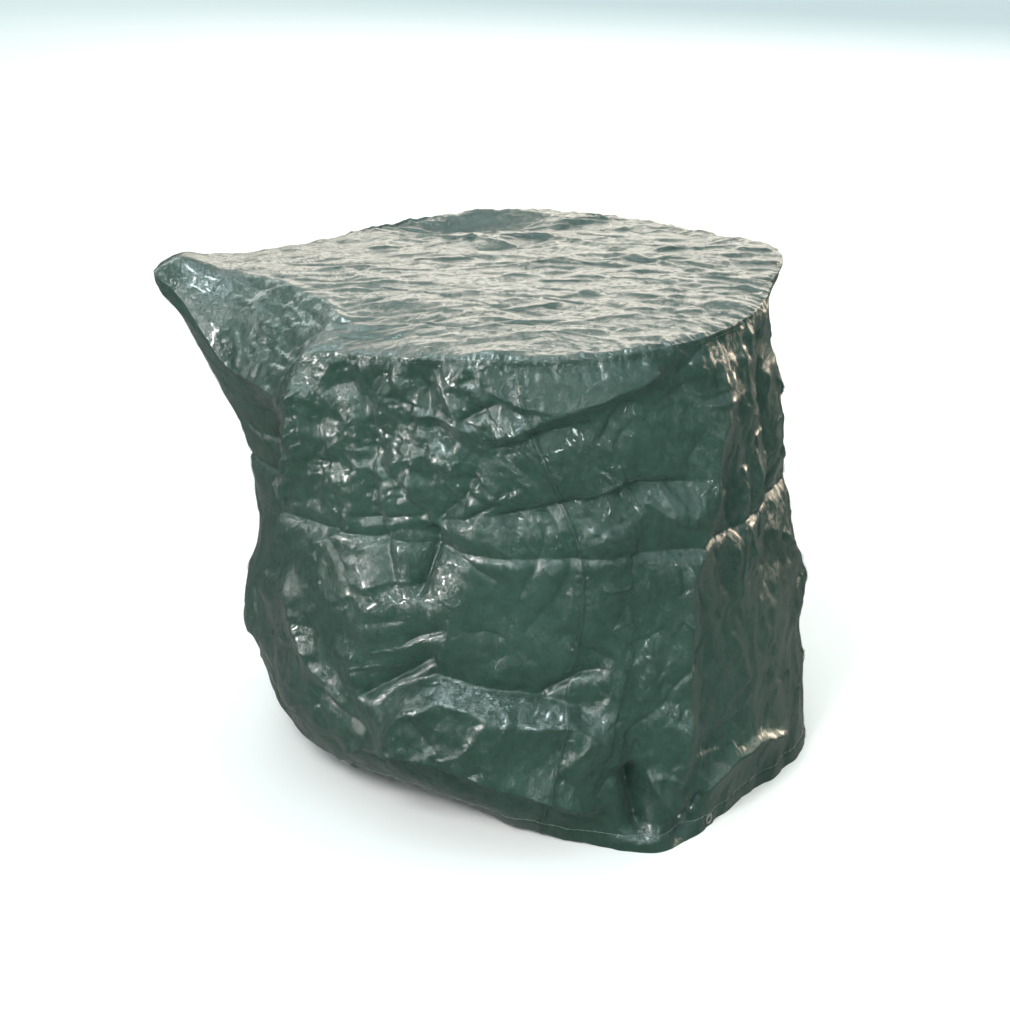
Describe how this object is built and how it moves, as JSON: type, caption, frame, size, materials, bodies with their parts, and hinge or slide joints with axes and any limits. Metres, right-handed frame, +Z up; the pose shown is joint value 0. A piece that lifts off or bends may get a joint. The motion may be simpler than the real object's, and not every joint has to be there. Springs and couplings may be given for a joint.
{
  "type": "grill cover",
  "caption": "Loose round fabric cover for a barbecue grill, with a tented side over the handle and metal eyelets in the hem.",
  "frame": {"origin": "on the ground, at the middle of the footprint box of the standing cover", "axes": "+Z up, the tent over the handle points towards -X, the front with the visible seam faces -Y"},
  "size_m": [1.3117, 1.1398, 0.9981],
  "materials": {
    "cover_cloth": "glossy laminated woven polyethylene, dark green, crumpled",
    "seam_tape": "inner side of the same cloth, folded and stitched",
    "stitching": "pale green polyester thread",
    "eyelet_metal": "pressed and tumbled aluminium, slightly dulled"
  },
  "bodies": {
    "root": {"top_panel": "cover_cloth", "rim_seam_tape": "seam_tape", "skirt_front_right": "cover_cloth", "hem_fold_front_right": "seam_tape", "eyelet_front_right": "eyelet_metal", "eyelet_washer_front_right": "eyelet_metal", "skirt_back_right": "cover_cloth", "hem_fold_back_right": "seam_tape", "eyelet_back_right": "eyelet_metal", "eyelet_washer_back_right": "eyelet_metal", "skirt_back_left": "cover_cloth", "hem_fold_back_left": "seam_tape", "eyelet_back_left": "eyelet_metal", "eyelet_washer_back_left": "eyelet_metal", "skirt_front_left": "cover_cloth", "hem_fold_front_left": "seam_tape", "eyelet_front_left": "eyelet_metal", "eyelet_washer_front_left": "eyelet_metal", "side_seam_tape_front": "seam_tape", "side_seam_tape_right": "seam_tape", "side_seam_tape_back": "seam_tape", "side_seam_tape_left": "seam_tape"}
  },
  "joints": []
}
